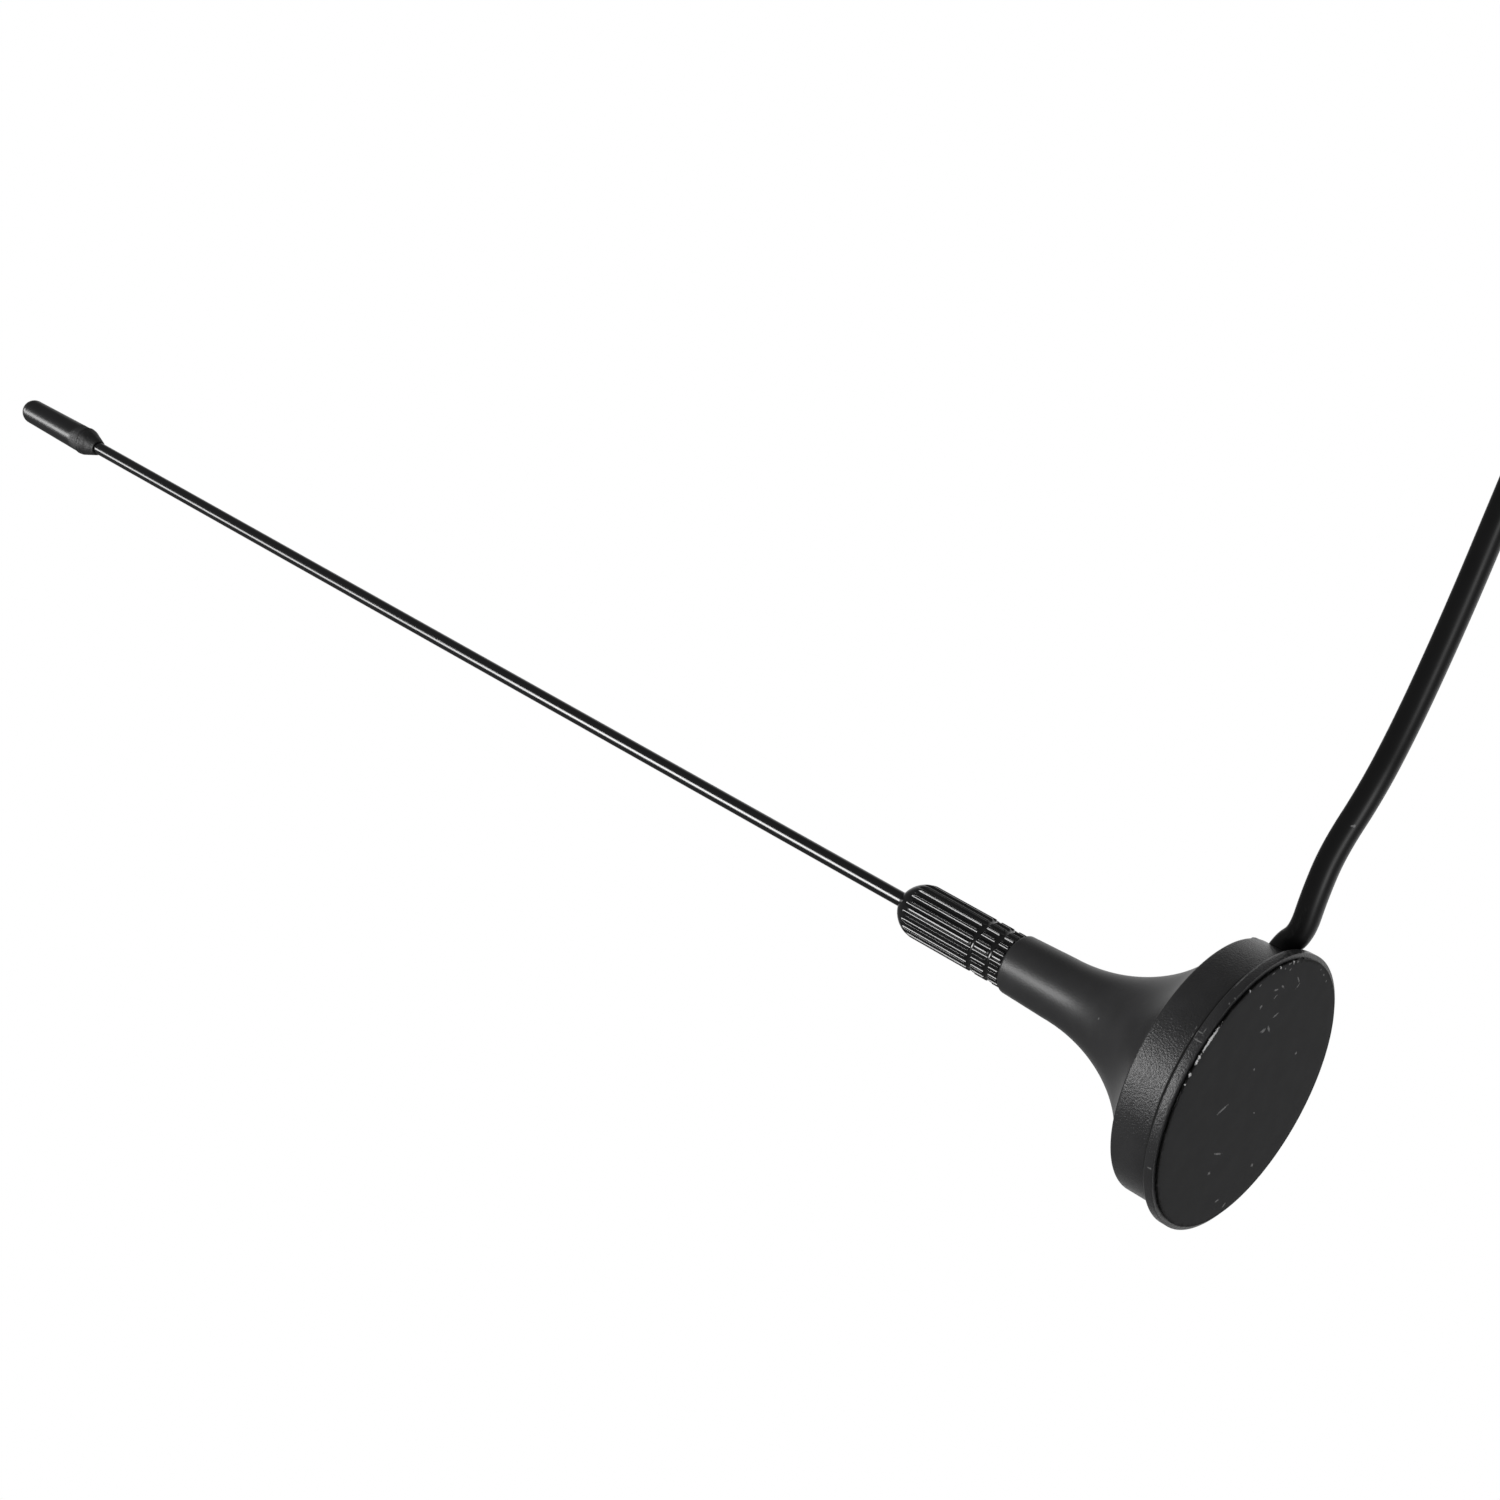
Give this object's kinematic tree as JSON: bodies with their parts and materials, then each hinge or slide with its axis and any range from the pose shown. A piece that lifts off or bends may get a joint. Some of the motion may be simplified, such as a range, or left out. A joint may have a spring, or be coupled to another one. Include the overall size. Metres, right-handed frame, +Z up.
{
  "type": "tv antenna",
  "caption": "Small black whip antenna with a knurled collar, a trumpet-shaped magnetic base and a thin coax lead ending in an aerial plug.",
  "frame": {"origin": "on the floor under the middle of the round base", "axes": "+Z up along the whip, +X out through the cable slot, +Y by the right hand"},
  "size_m": [0.1279, 0.0534, 0.2027],
  "materials": {
    "base_plastic": "satin black moulding with a fine grain",
    "pad_rubber": "dull charcoal sheet, lightly scratched",
    "ferrite": "dull grey-black sintered ring",
    "tinned_steel": "tinned, soft shine",
    "insert_brass": "turned",
    "black_metal": "glossy black plating",
    "cap_rubber": "satin black, rough at its lower end",
    "cable_jacket": "satin black jacket",
    "clear_plastic": "milky white",
    "tie_plastic": "black band",
    "grip_plastic": "satin black moulding",
    "plug_plating": "bright nickel plating"
  },
  "bodies": {
    "root": {"base_housing": "base_plastic", "base_pad": "pad_rubber", "magnet": "ferrite", "ground_plate": "tinned_steel", "neck_insert": "insert_brass", "whip_collar": "black_metal", "whip_rod": "black_metal", "tip_cap": "cap_rubber", "cable_tail": "cable_jacket", "feed_core": "clear_plastic", "feed_wire": "tinned_steel", "feed_solder": "tinned_steel", "braid_pigtail": "tinned_steel", "ground_solder": "tinned_steel", "free_cable": "cable_jacket", "cable_coil": "cable_jacket", "cable_tie": "tie_plastic", "plug_lead": "cable_jacket", "plug_grip": "grip_plastic", "plug_shell": "plug_plating", "plug_insulator": "clear_plastic", "plug_pin": "plug_plating"}
  },
  "joints": []
}
